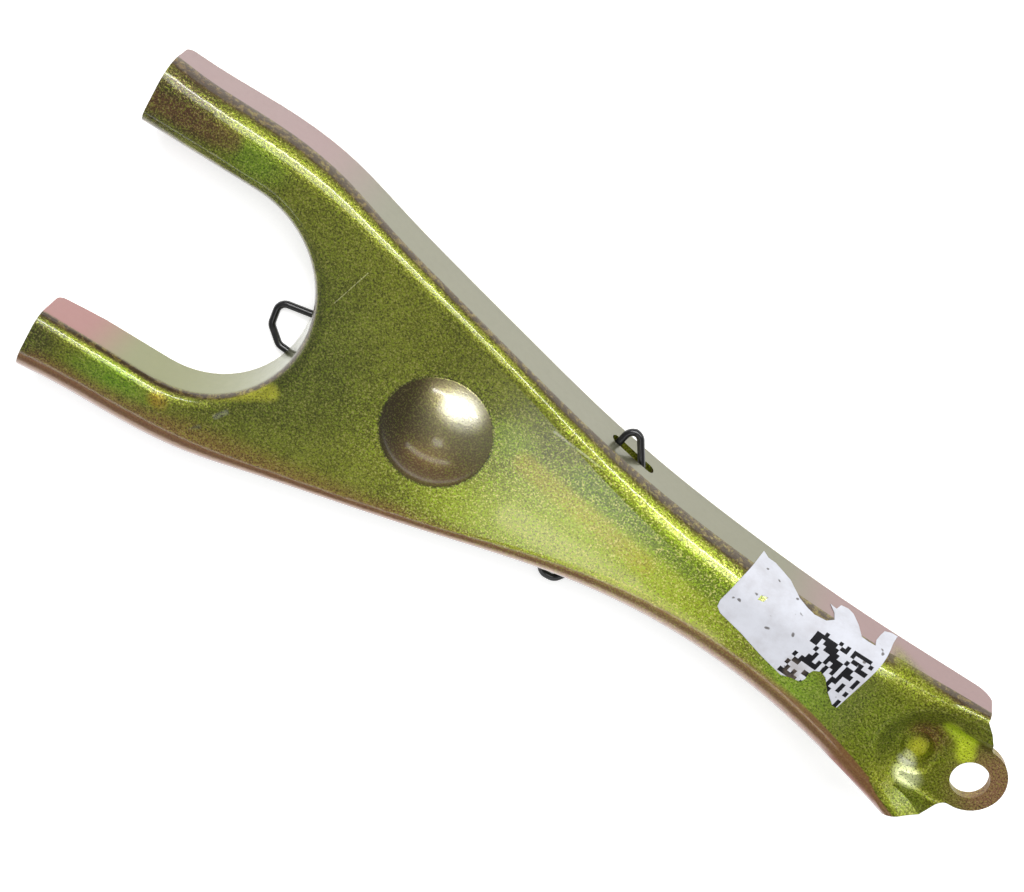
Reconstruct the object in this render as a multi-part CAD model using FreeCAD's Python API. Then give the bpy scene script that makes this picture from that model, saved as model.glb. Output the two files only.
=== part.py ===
import FreeCAD, Part
import math
import os

V = FreeCAD.Vector

# Clutch fork pressed from one steel sheet, with its wire retaining clip and a paper label.
# Millimetres. Origin: the contact point of the pivot ball in its cup, on the fork's centre line.
# +X runs to the push-rod end, +Z out of the domed face, Y across the arms.

# --- sheet and channel ------------------------------------------------------------------------
SHEET = 3.0                # sheet thickness
FLARE = math.radians(12)   # lean of the outer walls from vertical
DEEP = 40.0                # how far the untrimmed walls run down
BEYOND = 60.0              # cutting tools reach this far past the metal

# --- pivot cup --------------------------------------------------------------------------------
CUP_OUTER_R = 20.0         # sphere of the domed face
CUP_HEIGHT = 5.7           # dome height above the plate
PLATE_TOP = SHEET - CUP_HEIGHT

# --- length stations --------------------------------------------------------------------------
ARM_REACH = 97.0           # pivot to arm tips
BACK_X = -ARM_REACH - 20   # cutting tools start here, clear of the tips
SHOULDER_X = -50.0         # where the arms meet the tapered web
TAPER_START_X = -35.0
TAPER_END_X = 38.0
WAIST_X = 85.0             # narrowest place of the neck
POCKET_X = 137.8           # pivot to push-rod pocket
HOLE_X = 152.8             # pivot to return-spring hole
TAIL_END_X = 166.0         # untrimmed length of the pressing

# --- widths between mould lines (where top and wall planes would meet) ---------------------------
TIP_SPAN = 85.2
ARM_SPAN = 83.6
SHOULDER_SPAN = 79.4
TAPER_START_SPAN = 71.6
TAPER_END_SPAN = 34.8
WAIST_SPAN = 23.4
TAIL_SPAN = 37.0

# --- collar gap between the arms ---------------------------------------------------------------
COLLAR_GAP = 50.8          # clear width between the inner flanges' lower edges
CROTCH_X = -66.0           # centre of the round end of the gap
INNER_DRAFT = math.radians(10)
INNER_BEND = 4.2           # outside radius of the bend round the gap
INNER_FLANGE = 14.0        # depth of the flange round the gap

# --- upward bend of the tail --------------------------------------------------------------------
BEND_START_X = 35.0
BEND_R = 300.0

# --- dish, pocket and tab at the tail -------------------------------------------------------------
TAB_LEVEL = 12.7           # tab face above the plate
TAB_FLAT = 7.6             # half width of the flat floor beside the hole
TAB_SLOPE = math.radians(60)
TAB_CORNER = 2.6
DISH_LEVEL = 11.9          # dish floor above the plate
DISH_FLAT = 4.6            # radius of the dish floor
DISH_SLOPE = math.radians(35)
DISH_CORNER = 4.0
RIM_R = 2.6                # rounding where dish and trough meet the rails
POCKET_RIM_R = 4.15
POCKET_FLOOR_R = 3.05
POCKET_DEPTH = 2.1
POCKET_WALL = 2.4          # metal left round the punched pocket

# --- tail outline -----------------------------------------------------------------------------------
HOLE_R = 4.8
LOBE_R = 8.7
LOBE_SHIFT = 0.5           # the lobe stands slightly to the right of its hole
LOBE_INSET = 0.3           # the shoulders meet the lobe this far inside its widest points
LOBE_BLEND = 3.0
RIGHT_SHOULDER = (-5.9, 15.7)   # corners of the sheared end, from the hole's centre
RIGHT_WALL = (-8.1, 17.5)
LEFT_SHOULDER = (-9.9, -14.6)
LEFT_WALL = (-13.2, -17.5)
WALL_END_R = 8.0           # rounding of the walls' lower corners
TIP_CORNER_R = 2.2

TAB_CORE = 13.5            # half width of the tail that the wall trimming spares
RAIL_LEVEL = 12.0          # height from which the trimming also spares the rails

# lower edge of the walls seen from the side: place along the fork, height from the plate
FLANGE_EDGE = ((-ARM_REACH, -12.4), (-55.0, -15.2), (-10.0, -14.3), (20.0, -15.0), (50.0, -16.4),
               (80.0, -14.2), (110.0, -5.8), (HOLE_X - 11.0, 8.8), (HOLE_X - 6.0, 11.5))

# --- slots and retaining clip --------------------------------------------------------------------------
WIRE_R = 0.95
WIRE_CLEARANCE = 0.15
SLOT_X = 44.0
SLOT_LENGTH = 13.2
SLOT_HEIGHT = 3.0
SLOT_DROP = 10.0           # slot centre below the plate
CLIP_BEND_R = 2.4
SLOT_ROOM = 0.25           # wire to the slot's front end
LEG_ROOM = 1.51            # wire to the inner face of the wall
NECK_DROP = 12.0           # clip legs below the plate where they pass the ball's neck
NECK_HALF = 13.0           # clip legs from the centre line at that place

# --- paper label --------------------------------------------------------------------------------
LABEL_LIFT = 0.05          # glue line between label and metal
PAPER = 0.12
LABEL_X = 100.0            # middle of the label along the fork
LABEL_TILT = math.radians(45)   # the label's face direction, between the top and the right wall

# torn outline seen square to the label: along the fork from its middle, across from the fork's axis
LABEL_OUTLINE = (
    (-15.6, 17.4), (-19.0, 5.5), (-20.3, -0.5), (-20.0, -1.8), (-18.5, -2.7), (-12.0, -4.3), (-5.0, -6.5),
    (1.5, -8.3), (3.8, -8.0), (6.0, -8.0), (6.6, -7.2), (6.5, -6.0), (7.0, -5.1), (8.6, -4.7), (10.2, -5.4),
    (12.3, -7.5), (15.3, -9.7), (16.3, -9.7), (17.6, -4.2), (18.8, 0.9), (19.5, 5.0), (20.4, 9.5),
    (21.3, 12.4), (19.7, 12.6), (18.0, 12.0), (17.1, 10.1), (16.2, 7.7), (16.1, 5.6), (14.3, 5.8),
    (12.5, 6.3), (11.4, 9.8), (9.8, 12.7), (8.4, 13.6), (6.5, 13.5), (5.4, 11.4), (3.7, 12.0), (5.0, 9.7),
    (5.3, 7.3), (3.5, 5.9), (0.4, 5.9), (-2.0, 6.9), (-4.3, 8.4), (-6.0, 10.7), (-7.4, 12.7), (-9.5, 14.1),
    (-12.0, 15.6), (-14.1, 15.9))
LABEL_HOLE = ((-13.1, 2.7), (-12.9, 4.1), (-11.1, 4.3), (-11.6, 2.9))


def spine(x):
    """Height of the plate's top face: level, then an upward arc."""
    if x <= BEND_START_X:
        return PLATE_TOP
    run = x - BEND_START_X
    return PLATE_TOP + BEND_R - math.sqrt(BEND_R ** 2 - run ** 2)


def taper_span(x):
    """Straight taper of the web between the arms and the neck."""
    share = (x - TAPER_START_X) / (TAPER_END_X - TAPER_START_X)
    return TAPER_START_SPAN + share * (TAPER_END_SPAN - TAPER_START_SPAN)


def stations():
    """Cross-sections along the pressing: place, width between mould lines, bend radius."""
    return (
        (-ARM_REACH - 8, TIP_SPAN, 6.8),
        (-ARM_REACH + 6, TIP_SPAN - 0.3, 7.0),
        (CROTCH_X - 4, ARM_SPAN, 7.4),
        (SHOULDER_X, SHOULDER_SPAN, 6.6),
        (TAPER_START_X, TAPER_START_SPAN, 5.0),
        (-12.0, taper_span(-12.0), 4.2),
        (12.0, taper_span(12.0), 4.4),
        (TAPER_END_X, TAPER_END_SPAN, 5.8),
        (60.0, 27.0, 7.4),
        (WAIST_X, WAIST_SPAN, 8.2),
        (107.0, 25.0, 7.4),
        (126.0, 30.0, 6.0),
        (145.0, TAIL_SPAN, 4.2),
        (TAIL_END_X, TAIL_SPAN + 10, 4.2),
    )


def section(x, span, bend, inset):
    """One closed channel section, shrunk by inset: top, two bends, two flared walls, floor."""
    centre_z = spine(x) - bend
    r = bend - inset
    flat = span / 2 - bend * (math.cos(FLARE) - (1 - math.sin(FLARE)) * math.tan(FLARE))
    mid = (math.pi / 2 + FLARE) / 2
    end_y = flat + r * math.cos(FLARE)
    end_z = centre_z + r * math.sin(FLARE)
    floor_z = PLATE_TOP - DEEP
    floor_y = end_y + (end_z - floor_z) * math.tan(FLARE)
    edges = [Part.makeLine(V(x, -flat, centre_z + r), V(x, flat, centre_z + r))]
    edges.append(Part.Arc(V(x, flat, centre_z + r),
                          V(x, flat + r * math.cos(mid), centre_z + r * math.sin(mid)),
                          V(x, end_y, end_z)).toShape())
    edges.append(Part.makeLine(V(x, end_y, end_z), V(x, floor_y, floor_z)))
    edges.append(Part.makeLine(V(x, floor_y, floor_z), V(x, -floor_y, floor_z)))
    edges.append(Part.makeLine(V(x, -floor_y, floor_z), V(x, -end_y, end_z)))
    edges.append(Part.Arc(V(x, -end_y, end_z),
                          V(x, -flat - r * math.cos(mid), centre_z + r * math.sin(mid)),
                          V(x, -flat, centre_z + r)).toShape())
    return Part.Wire(edges)


def channel(inset):
    """The channel as a solid block, shrunk by inset."""
    wires = [section(x, span, bend, inset) for x, span, bend in stations()]
    return Part.makeLoft(wires, True, False)


def gap_outline(z, grow):
    """U-shaped outline of the collar gap at one height."""
    half = COLLAR_GAP / 2 + grow + (z - (PLATE_TOP - INNER_FLANGE)) * math.tan(INNER_DRAFT)
    lower = Part.makeLine(V(BACK_X, -half, z), V(CROTCH_X, -half, z))
    round_end = Part.Arc(V(CROTCH_X, -half, z), V(CROTCH_X + half, 0, z), V(CROTCH_X, half, z)).toShape()
    upper = Part.makeLine(V(CROTCH_X, half, z), V(BACK_X, half, z))
    close = Part.makeLine(V(BACK_X, half, z), V(BACK_X, -half, z))
    return Part.Wire([lower, round_end, upper, close])


def gap_tool(grow):
    """Drafted U-shaped block that opens the gap between the arms."""
    low = gap_outline(PLATE_TOP - DEEP - 5, grow)
    high = gap_outline(PLATE_TOP + 10, grow)
    return Part.makeLoft([low, high], True, True)


def round_gap_bend(solid, top_z, radius):
    """Round the edge between the plate and the drafted walls of the gap."""
    edges = []
    for edge in solid.Edges:
        box = edge.BoundBox
        inside = box.XMax < 0 and max(abs(box.YMin), abs(box.YMax)) < TAPER_START_SPAN / 2 - 3
        if inside and abs(box.ZMin - top_z) < 0.05 and box.ZLength < 0.1 and box.XLength > 5:
            edges.append(edge)
    return solid.makeFillet(radius, edges)


def cup(radius):
    """Cap of the pivot cup's sphere, standing on the plate."""
    centre = V(0, 0, PLATE_TOP + CUP_HEIGHT - CUP_OUTER_R)
    ball = Part.makeSphere(radius, centre, V(0, 1, 0))
    keep = Part.makeCylinder(CUP_OUTER_R, CUP_OUTER_R, V(0, 0, PLATE_TOP - SHEET - 0.5))
    return ball.common(keep)


def sloped_profile(flat, corner, slope, level, grow, start):
    """Half profile of a tool with a flat floor, a round corner and a sloping side."""
    r = corner + grow
    z0 = level - grow
    arc_mid = V(flat + r * math.sin(slope / 2), 0, z0 + r - r * math.cos(slope / 2))
    arc_end = V(flat + r * math.sin(slope), 0, z0 + r - r * math.cos(slope))
    rise = 25.0
    top = V(arc_end.x + rise / math.tan(slope), 0, arc_end.z + rise)
    edges = [Part.makeLine(V(start, 0, z0), V(flat, 0, z0))]
    edges.append(Part.Arc(V(flat, 0, z0), arc_mid, arc_end).toShape())
    edges.append(Part.makeLine(arc_end, top))
    edges.append(Part.makeLine(top, V(start, 0, top.z)))
    edges.append(Part.makeLine(V(start, 0, top.z), V(start, 0, z0)))
    return Part.Face(Part.Wire(edges))


def dish_tool(grow):
    """Round dish about the push-rod pocket."""
    face = sloped_profile(DISH_FLAT, DISH_CORNER, DISH_SLOPE, PLATE_TOP + DISH_LEVEL, grow, 0)
    tool = face.revolve(V(0, 0, 0), V(0, 0, 1), 360)
    tool.translate(V(POCKET_X, 0, 0))
    return tool


def trough_tool(grow):
    """Open trough from the dish to the tail's end, floored by the tab."""
    face = sloped_profile(TAB_FLAT, TAB_CORNER, TAB_SLOPE, PLATE_TOP + TAB_LEVEL, grow, 0)
    face.rotate(V(0, 0, 0), V(0, 0, 1), 90)
    face.translate(V(POCKET_X, 0, 0))
    half = face.extrude(V(TAIL_END_X + 5 - POCKET_X, 0, 0))
    other = half.mirror(V(0, 0, 0), V(0, 1, 0))
    return half.fuse(other).removeSplitter()


def pocket_tool(grow):
    """Punched pocket for the push rod's end."""
    depth = POCKET_DEPTH + grow
    tool = Part.makeCone(POCKET_FLOOR_R + grow, POCKET_RIM_R + grow, depth)
    tool.translate(V(POCKET_X, 0, PLATE_TOP + DISH_LEVEL - depth))
    return tool


def pressing(inset):
    """Block bounded by one face of the pressed sheet: the outer at inset 0, the inner at SHEET."""
    block = channel(inset).cut(gap_tool(inset))
    block = round_gap_bend(block, PLATE_TOP - inset, INNER_BEND - inset)
    block = block.fuse(cup(CUP_OUTER_R - inset))
    block = block.cut(trough_tool(inset).fuse(dish_tool(inset)))
    return round_rims(block, inset, RIM_R - inset)


def tail_outline():
    """Plan outline of the tail: sheared shoulders, a round lobe and soft inner corners."""
    half = LOBE_R - LOBE_INSET
    left_neck = (-1.0, LOBE_SHIFT - half)
    right_neck = (0.0, LOBE_SHIFT + half)
    plan = [(BACK_X, -BEYOND), (HOLE_X + LEFT_WALL[0], -BEYOND)]
    for back, y in (LEFT_WALL, LEFT_SHOULDER, left_neck, right_neck, RIGHT_SHOULDER, RIGHT_WALL):
        plan.append((HOLE_X + back, y))
    plan += [(HOLE_X + RIGHT_WALL[0], BEYOND), (BACK_X, BEYOND), (BACK_X, -BEYOND)]
    blank = Part.Face(Part.makePolygon([V(x, y, -DEEP) for x, y in plan])).extrude(V(0, 0, 3 * DEEP))
    lobe = Part.makeCylinder(LOBE_R, 3 * DEEP, V(HOLE_X, LOBE_SHIFT, -DEEP))
    blank = blank.fuse(lobe).removeSplitter()
    inner_corners = [edge for edge in blank.Edges
                     if edge.BoundBox.ZLength > DEEP and edge.BoundBox.XLength < 0.01
                     and abs(edge.BoundBox.XMin - HOLE_X) < 4 and 1 < abs(edge.BoundBox.YMin) < LOBE_R + 1]
    return blank.makeFillet(LOBE_BLEND, inner_corners)


def side_outline(side, end_x):
    """Side view that one side's wall is trimmed to, extruded outward from the centre line."""
    curve = Part.BSplineCurve()
    curve.interpolate([V(x, 0, PLATE_TOP + z) for x, z in FLANGE_EDGE])
    stop = curve.parameter(V(end_x, 0, PLATE_TOP + FLANGE_EDGE[-1][1]))
    curve.segment(curve.FirstParameter, stop)
    tip, heel = curve.StartPoint, curve.EndPoint
    heel_top = V(heel.x, 0, BEYOND)
    tip_top = V(tip.x, 0, BEYOND)
    edges = [curve.toShape(), Part.makeLine(heel, heel_top), Part.makeLine(heel_top, tip_top)]
    edges.append(Part.makeLine(tip_top, tip))
    block = Part.Face(Part.Wire(edges)).extrude(V(0, side * BEYOND, 0))
    return round_corner(round_corner(block, tip, TIP_CORNER_R), heel, WALL_END_R)


def round_corner(block, corner, radius):
    """Round the crosswise edge of a trimming block that passes through a corner."""
    picked = [edge for edge in block.Edges
              if edge.BoundBox.YLength > 50 and abs(edge.BoundBox.XMin - corner.x) < 0.01
              and abs(edge.BoundBox.ZMin - corner.z) < 0.01]
    return block.makeFillet(radius, picked)


def trim_flanges(body):
    """Cut the walls to their side view, sparing the tail's tab, and shorten the gap's flange."""
    right = side_outline(1, HOLE_X + RIGHT_WALL[0])
    left = side_outline(-1, HOLE_X + LEFT_WALL[0])
    length = TAIL_END_X + BEYOND - BACK_X
    waste = Part.makeBox(length, 2 * BEYOND, 2 * BEYOND, V(BACK_X, -BEYOND, -BEYOND))
    waste = waste.cut(right.fuse(left))
    core_corner = V(POCKET_X - POCKET_RIM_R - SHEET, -TAB_CORE, -BEYOND)
    core = Part.makeBox(BEYOND, 2 * TAB_CORE, 2 * BEYOND, core_corner)
    rail_half = RIGHT_WALL[1]
    rails = Part.makeBox(BEYOND, 2 * rail_half, BEYOND, V(POCKET_X, -rail_half, PLATE_TOP + RAIL_LEVEL))
    body = body.cut(waste.cut(core.fuse(rails)))
    reach = TAPER_START_X - BACK_X
    width = COLLAR_GAP + 2 * (SHEET + INNER_BEND + 1)
    corner = V(BACK_X, -width / 2, PLATE_TOP - INNER_FLANGE - DEEP)
    return body.cut(Part.makeBox(reach, width, DEEP, corner))


def slot_tool():
    """Round-ended bar that pierces both walls for the clip."""
    straight = SLOT_LENGTH - SLOT_HEIGHT
    z = PLATE_TOP - SLOT_DROP
    corner = V(SLOT_X - straight / 2, -BEYOND, z - SLOT_HEIGHT / 2)
    bar = Part.makeBox(straight, 2 * BEYOND, SLOT_HEIGHT, corner)
    for side in (-1, 1):
        place = V(SLOT_X + side * straight / 2, -BEYOND, z)
        end = Part.makeCylinder(SLOT_HEIGHT / 2, 2 * BEYOND, place, V(0, 1, 0))
        bar = bar.fuse(end)
    return bar


def round_rims(block, inset, radius):
    """Round the crests where dish and trough break out; a rim tighter than the sheet is sharp inside."""
    if radius <= 0:
        return block
    crests = []
    for edge in block.Edges:
        box = edge.BoundBox
        if box.XMax < POCKET_X - 20 or box.DiagonalLength < 1:
            continue
        points = edge.discretize(7)
        on_top = all(abs(p.z + inset - spine(p.x)) < 0.8 for p in points)
        if on_top and max(abs(p.y) for p in points) < TAIL_SPAN / 2 and box.XLength > 1:
            crests.append(edge)
    return block.makeFillet(radius, crests)


def fork_body():
    """The pressed fork: outer block less inner block, then trimmed and pierced."""
    body = pressing(0).cut(pressing(SHEET))
    body = body.common(tail_outline())
    body = trim_flanges(body)
    body = body.fuse(pocket_tool(POCKET_WALL)).cut(pocket_tool(0))
    body = body.cut(slot_tool())
    body = body.cut(Part.makeCylinder(HOLE_R, BEYOND, V(HOLE_X, 0, -BEYOND / 2)))
    return body


def rounded_path(points, radius):
    """Wire through points, with each corner rounded by a tangent arc."""
    edges = []
    start = points[0]
    for before, corner, after in zip(points, points[1:], points[2:]):
        back = (before - corner).normalize()
        ahead = (after - corner).normalize()
        half = back.getAngle(ahead) / 2
        run = radius / math.tan(half)
        middle = (back + ahead).normalize()
        centre = corner + middle * (radius / math.sin(half))
        arc_start = corner + back * run
        arc_end = corner + ahead * run
        edges.append(Part.makeLine(start, arc_start))
        edges.append(Part.Arc(arc_start, centre - middle * radius, arc_end).toShape())
        start = arc_end
    edges.append(Part.makeLine(start, points[-1]))
    return Part.Wire(edges)


def clip_points():
    """Centre line of the retaining clip from one inner end round the crotch to the other."""
    slot = PLATE_TOP - SLOT_DROP
    hook = PLATE_TOP - INNER_FLANGE - WIRE_R - WIRE_CLEARANCE
    neck = PLATE_TOP - NECK_DROP
    wall = TAPER_END_SPAN / 2
    inner_face = wall - SHEET / math.cos(FLARE) + SLOT_DROP * math.tan(FLARE)
    leg_y = inner_face - WIRE_R - LEG_ROOM
    leg_x = SLOT_X - SLOT_LENGTH / 2 + WIRE_R + SLOT_ROOM
    crotch = CROTCH_X + COLLAR_GAP / 2
    right = [(SLOT_X + 6.6, leg_y - 2.0, slot), (SLOT_X - 1.1, wall + 6.1, slot),
             (leg_x + 1.6, wall + 5.8, slot), (leg_x, leg_y, slot),
             (0.0, NECK_HALF, neck), (crotch + 6.6, 5.3, hook)]
    loop = [(crotch - 8.7, 2.4, hook), (crotch - 7.8, -3.7, hook), (crotch - 3.7, -7.4, hook)]
    left = [(crotch + 6.6, -8.3, hook), (0.0, -NECK_HALF, neck), (leg_x, -leg_y, slot),
            (leg_x + 2.4, -3.6 - wall, slot), (SLOT_X + 1.0, -3.3 - wall, slot),
            (SLOT_X + 6.6, 2.0 - leg_y, slot)]
    return [V(*point) for point in right + loop + left]


def retaining_clip():
    """Black spring-wire clip that holds the fork on its pivot ball."""
    path = rounded_path(clip_points(), CLIP_BEND_R)
    first = path.OrderedVertexes[0].Point
    heading = path.OrderedVertexes[1].Point - first
    profile = Part.Wire(Part.makeCircle(WIRE_R, first, heading))
    return path.makePipeShell([profile], True, False)


def label_prism(outline):
    """Block cut along an outline drawn square to the label's tilted face."""
    across = V(0, math.cos(LABEL_TILT), -math.sin(LABEL_TILT))
    outward = V(0, math.sin(LABEL_TILT), math.cos(LABEL_TILT))
    base = V(LABEL_X, 0, PLATE_TOP) - outward * 10
    points = [base + V(x, 0, 0) + across * v for x, v in outline]
    return Part.Face(Part.makePolygon(points + points[:1])).extrude(outward * 60)


def label():
    """Torn paper label that follows the plate, the right-hand bend and the wall."""
    paper = channel(-LABEL_LIFT - PAPER).cut(channel(-LABEL_LIFT))
    return paper.common(label_prism(LABEL_OUTLINE)).cut(label_prism(LABEL_HOLE))


os.makedirs("parts", exist_ok=True)
for name, shape in (("fork_body", fork_body()), ("retaining_clip", retaining_clip()), ("label", label())):
    shape.exportStep("parts/" + name + ".step")
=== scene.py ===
import math

import bpy
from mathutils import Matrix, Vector


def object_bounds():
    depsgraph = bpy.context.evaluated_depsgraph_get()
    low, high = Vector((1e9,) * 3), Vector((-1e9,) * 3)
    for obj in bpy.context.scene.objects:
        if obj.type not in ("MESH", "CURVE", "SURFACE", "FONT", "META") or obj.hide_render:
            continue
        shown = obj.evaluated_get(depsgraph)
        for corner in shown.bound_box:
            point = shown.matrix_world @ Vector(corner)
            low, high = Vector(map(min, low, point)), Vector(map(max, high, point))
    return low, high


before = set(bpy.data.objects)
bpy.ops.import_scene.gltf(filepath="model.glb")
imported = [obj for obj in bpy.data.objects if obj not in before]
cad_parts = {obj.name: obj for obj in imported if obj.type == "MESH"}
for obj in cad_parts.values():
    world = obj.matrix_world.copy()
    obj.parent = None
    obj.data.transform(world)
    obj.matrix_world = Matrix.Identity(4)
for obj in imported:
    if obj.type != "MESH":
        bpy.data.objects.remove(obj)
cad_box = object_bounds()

# Clutch fork: yellow zinc plate with a fine sparkle, a black wire clip and a torn paper label.
# Metres, in the CAD frame. Colours are written as 0-255 display values and turned to linear light.

MM = 0.001
DOME_RADIUS = 14.1 * MM          # base circle of the pivot cup's dome

# label: its middle along the fork, its lean, and the block of squares printed on it
LABEL_CENTRE_X = 100.0 * MM
LABEL_TILT = math.radians(45)
SQUARE = 0.95 * MM
BLOCK_TURN = math.radians(9)
BLOCK_SEED = 7.0
BLOCK_LOW = (0.4 * MM, -8.0 * MM)
BLOCK_HIGH = (17.0 * MM, 4.8 * MM)

# camera fitted to the photograph
CAMERA_PLACE = (-0.0127, 0.1545, 0.4082)   # metres
CAMERA_ANGLES = (-18.89, 6.96, 30.99)      # degrees about X, Y and Z
LENS = 63.93                               # millimetres
SENSOR = 36.0                              # millimetres
CLIP_START = 0.01                          # metres

# studio: metres, and strengths where 1 is white
WHITE = (1, 1, 1, 1)
FLOOR_HALF = 6.0
FLOOR_GLOW = 0.55
WORLD_LIGHT = 0.30
AIM = (0.03, 0.0, 0.0)

# lamps, all aimed at AIM: name, place and size in metres, power in watts
LAMPS = (
    ("right_strip", (0.05, 0.70, 0.72), (1.5, 0.055), 8.0),
    ("right_box", (-0.02, 0.55, 0.87), (0.56, 0.44), 3.4),
    ("top_box", (0.17, -0.30, 0.80), (0.16, 0.16), 0.3),
    ("left_strip", (0.10, -0.66, 0.55), (0.9, 0.12), 0.9),
)


def tone(red, green, blue):
    """Linear colour, with alpha, of a display colour."""
    linear = []
    for value in (red, green, blue):
        share = value / 255
        linear.append(share / 12.92 if share <= 0.04045 else ((share + 0.055) / 1.055) ** 2.4)
    return (*linear, 1.0)


class Material:
    """A node material under construction. Values may be numbers, colours or sockets."""

    def __init__(self, name):
        self.material = bpy.data.materials.new(name)
        self.material.use_nodes = True
        self.tree = self.material.node_tree
        self.shader = self.tree.nodes["Principled BSDF"]
        coords = self.node("ShaderNodeTexCoord")
        self.place = coords.outputs["Object"]
        self.normal = coords.outputs["Normal"]

    def node(self, kind, **settings):
        made = self.tree.nodes.new(kind)
        for key, value in settings.items():
            setattr(made, key, value)
        return made

    def feed(self, socket, value):
        """Link a socket into this one, or set it to a plain value."""
        if isinstance(value, bpy.types.NodeSocket):
            self.tree.links.new(value, socket)
        else:
            socket.default_value = value

    def math(self, operation, first, second=0.0, clamp=False):
        made = self.node("ShaderNodeMath", operation=operation, use_clamp=clamp)
        self.feed(made.inputs[0], first)
        self.feed(made.inputs[1], second)
        return made.outputs[0]

    def split(self, vector):
        made = self.node("ShaderNodeSeparateXYZ")
        self.feed(made.inputs[0], vector)
        return made.outputs

    def step(self, value, low, high):
        """0 below low and 1 above high, smooth between; low may be the larger."""
        made = self.node("ShaderNodeMapRange", interpolation_type="SMOOTHSTEP")
        self.feed(made.inputs["Value"], value)
        if low <= high:
            made.inputs["From Min"].default_value = low
            made.inputs["From Max"].default_value = high
        else:
            made.inputs["From Min"].default_value = high
            made.inputs["From Max"].default_value = low
            made.inputs["To Min"].default_value = 1.0
            made.inputs["To Max"].default_value = 0.0
        return made.outputs["Result"]

    def noise(self, scale, detail, roughness=0.5, stretch=None):
        vector = self.place
        if stretch:
            mapping = self.node("ShaderNodeMapping")
            self.feed(mapping.inputs["Vector"], vector)
            mapping.inputs["Scale"].default_value = stretch
            vector = mapping.outputs[0]
        made = self.node("ShaderNodeTexNoise")
        self.feed(made.inputs["Vector"], vector)
        made.inputs["Scale"].default_value = scale
        made.inputs["Detail"].default_value = detail
        made.inputs["Roughness"].default_value = roughness
        return made.outputs["Fac"]

    def mix(self, share, first, second):
        """Colour between first and second. The node's colour sockets are 6 and 7 in, 2 out."""
        made = self.node("ShaderNodeMix", data_type="RGBA")
        self.feed(made.inputs["Factor"], share)
        self.feed(made.inputs[6], first)
        self.feed(made.inputs[7], second)
        return made.outputs[2]

    def lay(self, colour, tint, mask, strength):
        """Colour with a tint laid over it where the mask is, as strongly as given."""
        return self.mix(self.math("MULTIPLY", mask, strength), colour, tint)

    def spot(self, centre, radii):
        """Soft oval patch about a place on the surface: 1 in the middle, 0 outside."""
        offset = self.node("ShaderNodeVectorMath", operation="SUBTRACT")
        self.feed(offset.inputs[0], self.place)
        offset.inputs[1].default_value = [value * MM for value in centre]
        scaled = self.node("ShaderNodeVectorMath", operation="DIVIDE")
        self.feed(scaled.inputs[0], offset.outputs[0])
        scaled.inputs[1].default_value = [value * MM for value in radii]
        length = self.node("ShaderNodeVectorMath", operation="LENGTH")
        self.feed(length.inputs[0], scaled.outputs[0])
        return self.step(length.outputs["Value"], 1.0, 0.25)

    def stroke(self, start, end, half):
        """Straight mark between two places in millimetres: 1 in its middle, 0 past its half width."""
        first, last = Vector(start) * MM, Vector(end) * MM
        run = last - first
        offset = self.node("ShaderNodeVectorMath", operation="SUBTRACT")
        self.feed(offset.inputs[0], self.place)
        offset.inputs[1].default_value = first
        along = self.node("ShaderNodeVectorMath", operation="DOT_PRODUCT")
        self.feed(along.inputs[0], offset.outputs[0])
        along.inputs[1].default_value = run / run.length_squared
        share = self.math("ADD", along.outputs["Value"], 0.0, clamp=True)
        nearest = self.node("ShaderNodeVectorMath", operation="SCALE")
        nearest.inputs[0].default_value = run
        self.feed(nearest.inputs["Scale"], share)
        gap = self.node("ShaderNodeVectorMath", operation="DISTANCE")
        self.feed(gap.inputs[0], offset.outputs[0])
        self.feed(gap.inputs[1], nearest.outputs[0])
        return self.step(gap.outputs["Value"], half * MM, half * 0.3 * MM)

    def bump(self, height, distance, strength):
        made = self.node("ShaderNodeBump")
        self.feed(made.inputs["Height"], height)
        made.inputs["Distance"].default_value = distance
        made.inputs["Strength"].default_value = strength
        self.feed(self.shader.inputs["Normal"], made.outputs["Normal"])

    def assign(self, thing):
        thing.data.materials.clear()
        thing.data.materials.append(self.material)


# The places in the next three tables are millimetres in the CAD frame. Many were read off the
# photograph through the fitted camera and aren't worked out from the frame.

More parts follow.
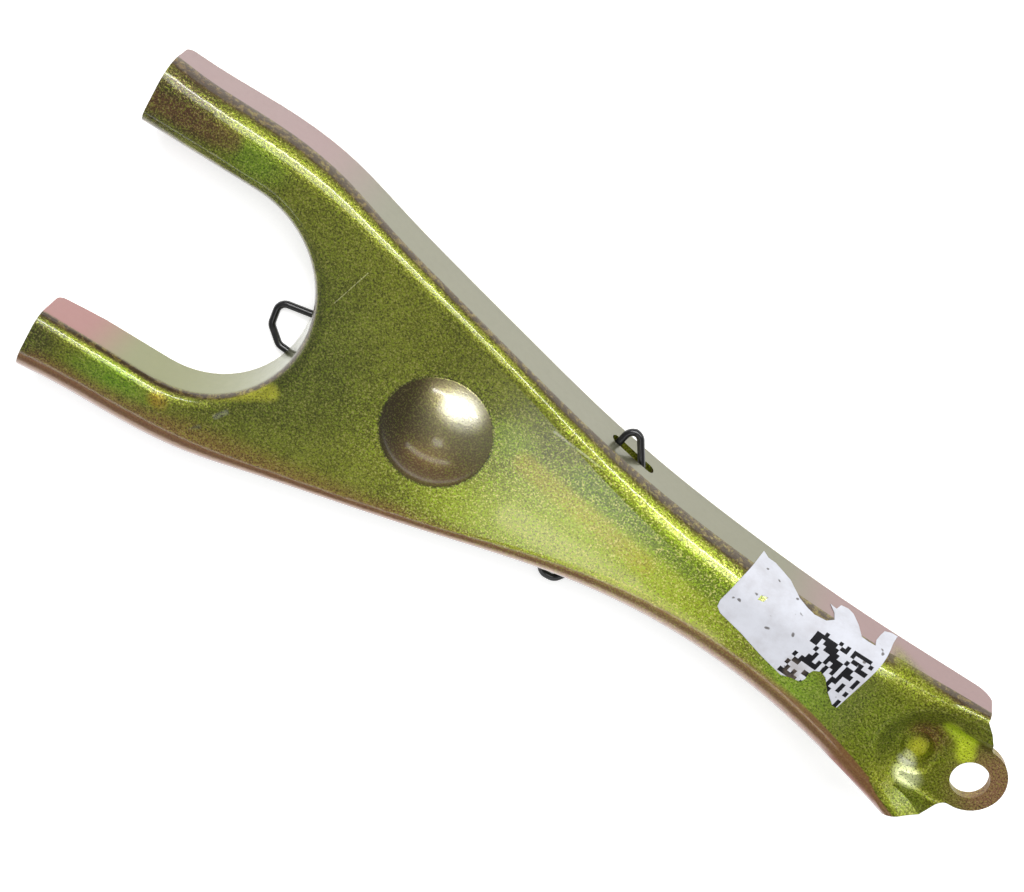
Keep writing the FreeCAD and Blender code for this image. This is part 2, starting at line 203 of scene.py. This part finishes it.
# plating tints: middle and half sizes in millimetres, colour, strength; the rows marked below are
# painted light and shade
TINTS = (
    ((-50, 0, -4), (50, 40, 14), tone(84, 92, 32), 0.8),
    # painted reflection: the bright glow across the neck, and its green edge on the left
    ((52, -4, 0), (52, 20, 14), tone(196, 212, 52), 0.9),
    ((22, -13, -3), (28, 11, 14), tone(182, 198, 50), 0.8),
    ((16, 8, -3), (10, 7, 10), tone(150, 178, 48), 0.6),
    ((-74, -33, -4), (16, 6, 12), tone(112, 158, 26), 0.85),
    ((-69, 34, -4), (12, 6, 12), tone(116, 150, 34), 0.8),
    ((-92, 37, -6), (18, 18, 18), tone(64, 42, 28), 0.9),
    ((-96, -34, -6), (9, 14, 14), tone(74, 70, 34), 0.8),
    ((-62, -31, -5), (4, 3, 8), tone(214, 150, 44), 0.5),
    ((107, -4, 6), (18, 9, 10), tone(140, 190, 46), 0.55),
    ((124, 0, 8), (18, 16, 14), tone(114, 128, 38), 0.8),
    # painted shade that mutes the lit edge of the dish's rim
    ((142, -13, 10), (9, 6, 8), tone(92, 112, 34), 0.7),
    ((160, 2, 10), (16, 17, 12), tone(152, 110, 84), 0.95),
    # painted shade on the pocket's upper wall and round its mouth
    ((138, 4, 10), (7, 6, 6), tone(112, 70, 42), 0.8),
    ((138.7, 1, 11), (6.5, 6.5, 3.2), tone(84, 52, 28), 0.9),
    # painted light: the pocket's lit floor, a glint on its lower wall and a highlight on the dish
    # slope below it
    ((138.7, -0.7, 7), (3.6, 3.6, 1.3), tone(192, 192, 54), 1.0),
    ((137.8, -4.4, 8), (3.4, 2.4, 4), tone(250, 252, 222), 0.9),
    ((139.7, -7.6, 9), (5.5, 3.6, 5), tone(244, 250, 196), 0.85),
)

# soft bands in the plating: two ends and half width in millimetres, colour, strength; the rows marked
# below are painted highlights and reflections
BANDS = (
    ((-92, -40, -4), (-58, -37, -4), 6, tone(140, 92, 62), 0.7),
    ((-52, -37, -5), (2, -28, -5), 9, tone(140, 102, 56), 0.85),
    ((2, -28, -5), (49, -18, -4), 9, tone(140, 100, 56), 0.9),
    ((49, -18, -4), (85, -14, -2), 8, tone(132, 94, 52), 0.95),
    ((85, -14, -2), (132, -17, 10), 7, tone(124, 86, 52), 0.95),
    # painted highlight along the lower arm's inner bend at the crotch
    ((-51, -21.5, -3.5), (-39, -13.5, -3.2), 3, tone(226, 224, 70), 0.7),
    ((-96, 34, -3), (-76, 35, -3), 4, tone(120, 74, 54), 0.6),
    ((36, 9, -2.5), (80, 4, 0.5), 5, tone(112, 140, 24), 0.8),
    # painted reflection: the neck glow's yellow middle line, then pale glints along the left bend
    ((22, 5, -3), (60, -1, -1), 4, tone(220, 190, 56), 0.4),
    ((26, -9, -3), (60, -8, -2), 5, tone(240, 240, 150), 0.45),
    ((60, -8, -2), (84, -8, 1), 4, tone(240, 240, 150), 0.45),
    # painted highlight on the convex rim of the dish
    ((141, 10.3, 11), (146, 8.5, 11), 3.6, tone(222, 246, 60), 0.85),
    ((146, 8.5, 11), (148, 5, 10), 3.4, tone(222, 240, 56), 0.8),
)

# fine marks in the plating: two ends in millimetres, half width, colour, strength
MARKS = (
    ((-36.7, 14.6, -2.7), (-33.4, 25.4, -2.7), 0.16, tone(214, 214, 150), 0.8),
    ((24, 15.9, -2.7), (39, 14.3, -2.6), 0.5, tone(226, 226, 196), 0.5),
    ((-47.7, -26.5, -2.7), (-46, -24, -2.7), 1.0, tone(150, 148, 140), 0.5),
    ((-52.5, -33.7, -3.5), (-50, -31, -3), 0.9, tone(96, 94, 90), 0.6),
)


def plated_steel():
    """Yellow zinc: sparkling olive faces and bends, smooth pink walls, a browner dome, with painted
    highlights, glints, reflections and shade in places.
    """
    m = Material("plated_steel")
    x, y, _ = m.split(m.place)
    _, outward, up = m.split(m.normal)
    sideways = m.math("ABSOLUTE", y)

    # plating colour of the faces, cloudy, with named local tints
    cloud = m.noise(30.0, 4.0, 0.6)
    patch = m.noise(110.0, 4.0, 0.65)
    colour = m.mix(m.step(cloud, 0.35, 0.65), tone(104, 108, 22), tone(132, 136, 38))
    for centre, radii, tint, strength in TINTS:
        colour = m.lay(colour, tint, m.spot(centre, radii), strength)
    colour = m.lay(colour, tone(150, 158, 60), m.step(patch, 0.50, 0.72), 0.3)
    for start, end, half, tint, strength in BANDS:
        colour = m.lay(colour, tint, m.stroke(start, end, half), strength)

    # the left bend turns brown, then pink at its foot
    left = m.math("MULTIPLY", m.step(y, -5 * MM, -8 * MM), m.step(outward, -0.02, -0.12))
    brown = m.math("MULTIPLY", left, m.step(up, 0.9995, 0.955))
    colour = m.lay(colour, tone(140, 96, 64), brown, 0.92)
    pink = m.math("MULTIPLY", left, m.step(up, 0.78, 0.60))
    colour = m.mix(pink, colour, tone(150, 92, 82))

    # smooth walls: pink at both ends, tan along the middle, greener inside the collar gap
    # except near the arms' tips
    ends = m.math("MAXIMUM", m.step(x, -35 * MM, -60 * MM), m.step(x, 88 * MM, 108 * MM))
    wall_colour = m.mix(ends, tone(118, 117, 92), tone(142, 115, 112))
    by_gap = m.step(sideways, 33 * MM, 30 * MM)
    gap_side = m.math("MULTIPLY", m.step(x, -34 * MM, -37 * MM), by_gap)
    gap_colour = m.mix(m.step(x, -72 * MM, -88 * MM), tone(132, 134, 92), tone(158, 112, 106))
    wall_colour = m.mix(gap_side, wall_colour, gap_colour)
    between_rails = m.step(sideways, 17 * MM, 15 * MM)
    dished = m.math("MULTIPLY", m.step(x, 119 * MM, 124 * MM), between_rails)
    under = m.step(up, -0.15, -0.5)
    upright = m.step(m.math("SUBTRACT", up, m.math("MULTIPLY", gap_side, 0.06)), 0.34, 0.20)
    elsewhere = m.math("SUBTRACT", 1.0, m.math("MAXIMUM", dished, under))
    wall = m.math("MULTIPLY", upright, elsewhere)
    colour = m.mix(wall, colour, wall_colour)

    # the dome, browner towards -Y and darker on its -X side, with a painted highlight on its +Y side
    # and painted shade in the crease round its foot
    flat = m.node("ShaderNodeCombineXYZ")
    m.feed(flat.inputs[0], x)
    m.feed(flat.inputs[1], y)
    from_pivot = m.node("ShaderNodeVectorMath", operation="LENGTH")
    m.feed(from_pivot.inputs[0], flat.outputs[0])
    radius = from_pivot.outputs["Value"]
    outside = m.step(up, 0.0, 0.2)
    dome = m.math("MULTIPLY", m.step(radius, DOME_RADIUS, DOME_RADIUS - 0.4 * MM), outside)
    dome_colour = m.mix(m.step(y, 6 * MM, -8 * MM), tone(146, 136, 104), tone(124, 92, 58))
    # painted highlight on the dome's +Y side
    dome_colour = m.mix(m.spot((4, 11, 4), (10, 8, 9)), dome_colour, tone(236, 232, 214))
    dome_colour = m.mix(m.step(x, 1 * MM, -11 * MM), dome_colour, tone(74, 56, 32))
    colour = m.lay(colour, dome_colour, dome, 0.95)
    # painted shade in the crease round the dome's foot
    inner_edge = m.step(radius, DOME_RADIUS - 0.5 * MM, DOME_RADIUS)
    crease = m.math("MULTIPLY", inner_edge, m.step(radius, DOME_RADIUS + 0.4 * MM, DOME_RADIUS))
    crease = m.math("MULTIPLY", crease, outside)
    colour = m.lay(colour, tone(46, 36, 20), crease, 0.75)

    # the underside, then the fine marks
    below = m.mix(m.step(cloud, 0.35, 0.65), tone(124, 122, 62), tone(158, 150, 84))
    below = m.lay(below, tone(150, 122, 88), m.step(patch, 0.5, 0.7), 0.5)
    colour = m.mix(under, colour, below)
    for start, end, half, tint, strength in MARKS:
        colour = m.lay(colour, tint, m.stroke(start, end, half), strength)

    # sparkle: bright and dark crystals, none on the walls, faint on the dome and the left bend;
    # the bright ones are boosted by painted glints where the lamps light the web and neck
    smooth = m.math("MAXIMUM", wall, m.math("MULTIPLY", brown, 0.7))
    smooth = m.math("MAXIMUM", smooth, m.math("MULTIPLY", dome, 0.65))
    grain = m.math("SUBTRACT", 1.0, smooth)
    fine = m.noise(2100.0, 2.0, 0.8)
    coarse = m.noise(700.0, 3.0, 0.65)
    hue = m.noise(1500.0, 1.0, 0.5)
    # painted glints: more bright crystals where the web and neck are lit
    painted_glint_boost = m.math("ADD", 0.22, m.math("MULTIPLY", m.spot((46, -6, 0), (78, 34, 20)), 0.7))
    bright = m.math("MULTIPLY", m.step(fine, 0.50, 0.60), m.math("MULTIPLY", grain, painted_glint_boost))
    calm = m.math("SUBTRACT", 0.95, m.math("MULTIPLY", painted_glint_boost, 0.4))
    dark = m.math("MULTIPLY", m.step(fine, 0.47, 0.35), m.math("MULTIPLY", grain, calm))
    crystal = m.mix(m.step(hue, 0.46, 0.60), tone(196, 230, 56), tone(255, 248, 150))
    colour = m.mix(bright, colour, crystal)
    colour = m.mix(dark, colour, tone(56, 60, 14))

    # dark speckled line where the bends run out into the walls, faint where the plating is smooth;
    # the speckles are the plating's grain and the brown darkening under them is a painted dark
    # reflection
    speckled_dark_reflection = m.math("MULTIPLY", m.step(up, 0.74, 0.56), m.step(up, 0.20, 0.28))
    speckled_dark_reflection = m.math("MULTIPLY", speckled_dark_reflection, m.math("SUBTRACT", 1.0, dished))
    speckled_dark_reflection = m.math("MULTIPLY", speckled_dark_reflection, grain)
    colour = m.lay(colour, tone(116, 84, 54), speckled_dark_reflection, 0.65)
    speck = m.math("MULTIPLY", speckled_dark_reflection, m.step(coarse, 0.38, 0.52))
    colour = m.lay(colour, tone(58, 42, 24), speck, 0.85)

    m.feed(m.shader.inputs["Base Color"], colour)
    m.shader.inputs["Metallic"].default_value = 0.85
    rough = m.node("ShaderNodeMapRange")
    m.feed(rough.inputs["Value"], coarse)
    rough.inputs["To Min"].default_value = 0.26
    rough.inputs["To Max"].default_value = 0.46
    dish_rough = m.math("MULTIPLY", dished, 0.14)
    dish_dull = m.math("MULTIPLY", dished, 0.85)
    m.feed(m.shader.inputs["Roughness"], m.math("ADD", rough.outputs["Result"], dish_rough))
    m.feed(m.shader.inputs["Coat Weight"], m.math("SUBTRACT", 0.95, dish_dull))
    m.shader.inputs["Coat Roughness"].default_value = 0.14
    height = m.math("MULTIPLY", m.math("ADD", fine, m.math("MULTIPLY", coarse, 0.9)), grain)
    m.bump(height, 0.18 * MM, 0.75)
    return m


def spring_wire():
    """Glossy black wire with faint drawing marks."""
    m = Material("spring_wire")
    drawn = m.noise(700.0, 2.0, 0.5, stretch=(0.2, 1.0, 1.0))
    colour = m.mix(m.step(drawn, 0.5, 0.8), tone(14, 14, 15), tone(44, 42, 42))
    m.feed(m.shader.inputs["Base Color"], colour)
    m.shader.inputs["Roughness"].default_value = 0.28
    m.shader.inputs["Coat Weight"].default_value = 0.4
    m.bump(drawn, 0.04 * MM, 0.4)
    return m


def label_paper():
    """Torn bluish-white paper with a generic block of squares, specks, creases, a painted highlight
    along one crease, and dirt.
    """
    m = Material("label_paper")
    centred = m.node("ShaderNodeMapping", vector_type="POINT")
    m.feed(centred.inputs["Vector"], m.place)
    centred.inputs["Location"].default_value = (-LABEL_CENTRE_X, 0, 0)
    tilted = m.node("ShaderNodeMapping", vector_type="POINT")
    m.feed(tilted.inputs["Vector"], centred.outputs[0])
    tilted.inputs["Rotation"].default_value = (LABEL_TILT, 0, 0)
    along, over, _ = m.split(tilted.outputs[0])

    wear = m.noise(160.0, 5.0, 0.65)
    colour = m.mix(m.step(wear, 0.35, 0.75), tone(212, 214, 222), tone(196, 196, 202))
    specks = m.step(m.noise(420.0, 1.0, 0.4), 0.70, 0.74)
    colour = m.lay(colour, tone(70, 62, 52), specks, 0.8)

    # block of squares: seeded noise on a grid that is turned a little from the fork's length
    block = m.node("ShaderNodeMapping", vector_type="POINT")
    flat = m.node("ShaderNodeCombineXYZ")
    m.feed(flat.inputs[0], along)
    m.feed(flat.inputs[1], over)
    m.feed(block.inputs["Vector"], flat.outputs[0])
    block.inputs["Rotation"].default_value = (0, 0, BLOCK_TURN)
    snap = m.node("ShaderNodeVectorMath", operation="SNAP")
    m.feed(snap.inputs[0], block.outputs[0])
    snap.inputs[1].default_value = (SQUARE, SQUARE, 1.0)
    squares = m.node("ShaderNodeTexWhiteNoise", noise_dimensions="4D")
    m.feed(squares.inputs["Vector"], snap.outputs[0])
    squares.inputs["W"].default_value = BLOCK_SEED
    cell_x, cell_y, _ = m.split(snap.outputs[0])
    ink = m.math("GREATER_THAN", squares.outputs["Value"], 0.5)
    for cell, low, high in zip((cell_x, cell_y), BLOCK_LOW, BLOCK_HIGH):
        ink = m.math("MULTIPLY", ink, m.math("GREATER_THAN", cell, low))
        ink = m.math("MULTIPLY", ink, m.math("LESS_THAN", cell, high))
    worn = m.step(m.noise(700.0, 3.0, 0.6), 0.80, 0.66)
    colour = m.lay(colour, tone(22, 22, 26), ink, worn)

    # a painted highlight along a crease, a dark crease, and dirt
    crease_highlight = m.stroke((81, 14.6, 0), (91, 13.9, 1), 0.35)
    dark_crease = m.stroke((91, 14.2, 1), (98, 11, 4), 0.3)
    dirt = m.math("MULTIPLY", m.spot((103, -3, 7), (7, 6, 9)), m.step(wear, 0.42, 0.6))
    colour = m.lay(colour, tone(236, 236, 240), crease_highlight, 0.7)
    colour = m.lay(colour, tone(84, 74, 62), dark_crease, 0.7)
    colour = m.lay(colour, tone(138, 122, 106), dirt, 0.5)
    m.feed(m.shader.inputs["Base Color"], colour)
    m.shader.inputs["Roughness"].default_value = 0.7
    m.shader.inputs["Specular IOR Level"].default_value = 0.2
    m.bump(m.noise(240.0, 3.0), 0.15 * MM, 0.5)
    return m


# --- camera --------------------------------------------------------------------------------------
camera_data = bpy.data.cameras.new("camera")
camera_data.lens = LENS
camera_data.sensor_width = SENSOR
camera_data.clip_start = CLIP_START
camera = bpy.data.objects.new("camera", camera_data)
camera.location = CAMERA_PLACE
camera.rotation_euler = [math.radians(angle) for angle in CAMERA_ANGLES]
bpy.context.scene.collection.objects.link(camera)
bpy.context.scene.camera = camera

# --- finishes on the CAD pieces ------------------------------------------------------------------
plated_steel().assign(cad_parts["fork_body"])
spring_wire().assign(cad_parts["retaining_clip"])
label_paper().assign(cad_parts["label"])


# --- floor, light and world ----------------------------------------------------------------------
def studio_floor(level):
    """Wide pale floor under the fork. Camera, glossy and transmission rays see it near white."""
    mesh = bpy.data.meshes.new("floor")
    signs = ((-1, -1), (1, -1), (1, 1), (-1, 1))
    corners = [(FLOOR_HALF * x, FLOOR_HALF * y, level) for x, y in signs]
    mesh.from_pydata(corners, [], [(0, 1, 2, 3)])
    floor = bpy.data.objects.new("floor", mesh)
    bpy.context.scene.collection.objects.link(floor)
    m = Material("floor")
    m.feed(m.shader.inputs["Base Color"], tone(246, 246, 246))
    m.shader.inputs["Roughness"].default_value = 0.9
    path = m.node("ShaderNodeLightPath")
    m.shader.inputs["Emission Color"].default_value = WHITE
    seen = m.math("MAXIMUM", path.outputs["Is Camera Ray"], path.outputs["Is Glossy Ray"])
    seen = m.math("MAXIMUM", seen, path.outputs["Is Transmission Ray"])
    m.feed(m.shader.inputs["Emission Strength"], m.math("MULTIPLY", seen, FLOOR_GLOW))
    m.assign(floor)


def soft_light(name, place, size, power):
    """Rectangular softbox aimed at the fork."""
    data = bpy.data.lights.new(name, "AREA")
    data.shape = "RECTANGLE"
    data.size, data.size_y = size
    data.energy = power
    lamp = bpy.data.objects.new(name, data)
    lamp.location = place
    lamp.rotation_euler = (Vector(AIM) - Vector(place)).to_track_quat("-Z", "Y").to_euler()
    bpy.context.scene.collection.objects.link(lamp)


world = bpy.data.worlds.new("world")
world.use_nodes = True
background = world.node_tree.nodes["Background"]
background.inputs["Color"].default_value = WHITE
background.inputs["Strength"].default_value = WORLD_LIGHT
bpy.context.scene.world = world

studio_floor(cad_box[0].z)
for lamp_row in LAMPS:
    soft_light(*lamp_row)

bpy.context.scene.view_settings.view_transform = "Standard"
